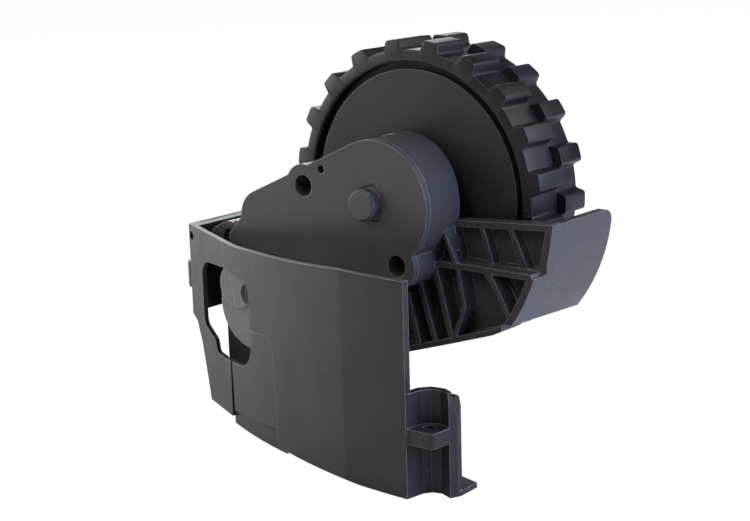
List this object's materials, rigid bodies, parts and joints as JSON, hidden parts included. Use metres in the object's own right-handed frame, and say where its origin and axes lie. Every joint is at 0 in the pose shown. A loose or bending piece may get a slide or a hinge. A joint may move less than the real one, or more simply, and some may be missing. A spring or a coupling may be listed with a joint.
{
  "type": "robot vacuum drive wheel module",
  "caption": "Sprung drive wheel unit of a robot vacuum: treaded wheel, geared motor in a swing arm with a mudguard, pivoting in a housing with a curved panel.",
  "frame": {"origin": "seat of the corner screw on the tower's shelf, on the hole's axis", "axes": "+Z out of the robot's underside, so the module lies upside down as pictured and the wheel reaches up; -Y toward the curved outer panel; +X along the panel toward the mudguard; the axle lies along Y"},
  "size_m": [0.1032, 0.0606, 0.0904],
  "materials": {
    "housing_plastic": "fine texture, dark grey",
    "arm_plastic": "fine texture, dark grey",
    "wheel_plastic": "satin, near black",
    "tyre_rubber": "matt, near black",
    "bush_plastic": "satin, dark grey",
    "steel": "ground",
    "zinc_screw": "zinc plated",
    "gear_plastic": "natural acetal",
    "motor_steel": "dull, blackened",
    "motor_cap_plastic": "satin, dark grey",
    "contact_metal": "tinned",
    "connector_plastic": "natural",
    "magnet": "ferrite, dull",
    "rotor_core": "laminated, wound",
    "switch_plastic": "satin"
  },
  "bodies": {
    "frame": {"housing_frame": "housing_plastic", "panel_insert": "housing_plastic", "pivot_pin": "steel", "arm_spring": "steel", "switch_body": "switch_plastic", "switch_screws": "zinc_screw"},
    "arm": {"gearbox_cover": "arm_plastic", "gearbox_case": "arm_plastic", "gearbox_screws": "zinc_screw", "axle_bush_front": "bush_plastic", "axle_bush_rear": "gear_plastic", "gear_pins": "steel", "motor_can": "motor_steel", "motor_end_cap": "motor_cap_plastic", "motor_terminals": "contact_metal", "motor_connector": "connector_plastic", "motor_magnets": "magnet", "motor_screws": "zinc_screw"},
    "wheel": {"wheel_hub": "wheel_plastic", "tyre": "tyre_rubber", "wheel_washer": "zinc_screw", "wheel_screw": "zinc_screw", "axle": "steel", "output_gear": "gear_plastic"},
    "second_gear": {"reduction_gear_2": "gear_plastic"},
    "first_gear": {"reduction_gear_1": "gear_plastic"},
    "rotor": {"motor_rotor": "rotor_core", "motor_pinion": "contact_metal"},
    "lever": {"switch_lever": "steel"}
  },
  "joints": [
    {"name": "arm_swing", "type": "hinge", "parent": "frame", "child": "arm", "pos_m": [-0.07759, 0.0383, 0.02724], "axis": [0, 1, 0], "range_deg": [0, 17], "stiffness_Nm_per_rad": 0.5, "springref_deg": -34.38, "deforming": ["arm_spring"]},
    {"name": "wheel_spin", "type": "hinge", "parent": "arm", "child": "wheel", "pos_m": [-0.0321, 0.0383, 0.0402], "axis": [0, 1, 0], "continuous": true},
    {"name": "second_gear_spin", "type": "hinge", "parent": "arm", "child": "second_gear", "pos_m": [-0.04053, 0.0383, 0.02816], "axis": [0, 1, 0], "continuous": true},
    {"name": "first_gear_spin", "type": "hinge", "parent": "arm", "child": "first_gear", "pos_m": [-0.05408, 0.0383, 0.02552], "axis": [0, 1, 0], "continuous": true},
    {"name": "motor_spin", "type": "hinge", "parent": "arm", "child": "rotor", "pos_m": [-0.0609, 0.0383, 0.01445], "axis": [0, 1, 0], "continuous": true},
    {"name": "lever_swing", "type": "hinge", "parent": "frame", "child": "lever", "pos_m": [-0.08214, 0.0383, 0.00534], "axis": [0, 1, 0], "range_deg": [-13, 0]}
  ],
  "couplings": [
    {"joint": "second_gear_spin", "follows": "wheel_spin", "ratio": -3.2},
    {"joint": "first_gear_spin", "follows": "wheel_spin", "ratio": 11.52},
    {"joint": "motor_spin", "follows": "wheel_spin", "ratio": -48.384},
    {"joint": "lever_swing", "follows": "arm_swing", "ratio": -0.753}
  ]
}
